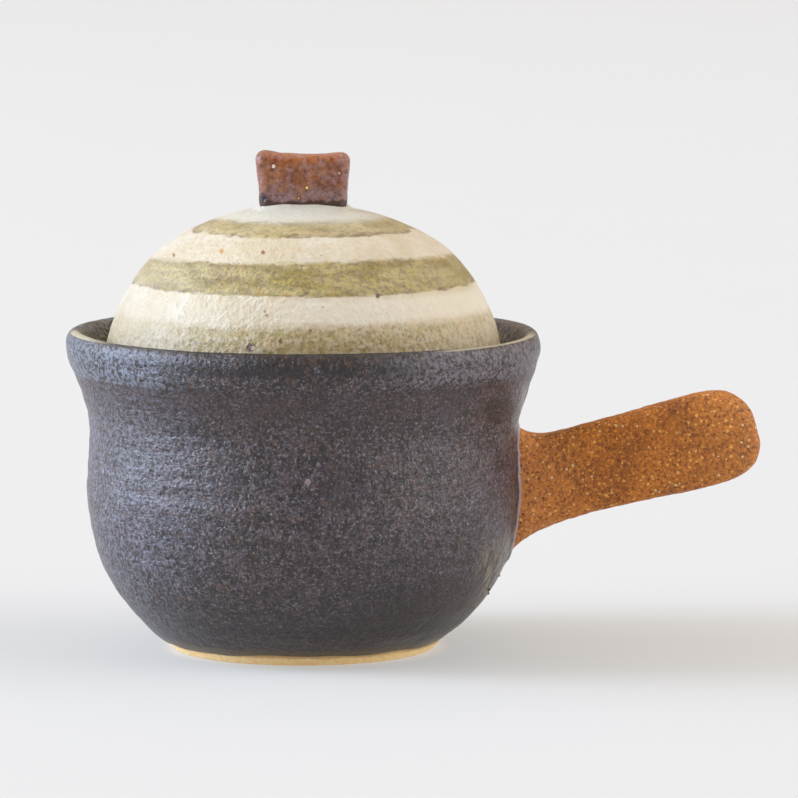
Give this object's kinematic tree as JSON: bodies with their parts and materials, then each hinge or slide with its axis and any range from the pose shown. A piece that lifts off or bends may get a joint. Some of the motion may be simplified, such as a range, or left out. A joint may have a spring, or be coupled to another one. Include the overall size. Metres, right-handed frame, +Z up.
{
  "type": "lidded rice pot",
  "caption": "Small round stoneware rice pot with a flared rim, a flat side handle that rises outwards, and a domed lift-off lid with a slab knob.",
  "frame": {"origin": "centre of the flat base face under the foot, on the pot's axis", "axes": "+Z up along the pot's axis, +X along the side handle, +Y to the left of the handle seen from the pot"},
  "size_m": [0.1836, 0.1255, 0.1313],
  "materials": {
    "dark_glaze": "satin charcoal glaze with a fine metallic mottle",
    "bare_clay": "unglazed tan clay, matt",
    "handle_clay": "unglazed red-brown clay with light and dark grit, matt",
    "cream_glaze": "satin cream glaze with brushed olive bands and iron specks",
    "knob_glaze": "thin iron-brown glaze, satin"
  },
  "bodies": {
    "pot": {"pot_body": "dark_glaze", "foot": "bare_clay", "handle": "handle_clay"},
    "lid": {"lid_dome": "cream_glaze", "lid_knob": "knob_glaze"}
  },
  "joints": [
    {"name": "lid_lift", "type": "slide", "parent": "pot", "child": "lid", "axis": [0, 0, 1], "range_m": [0, 0.036]}
  ]
}
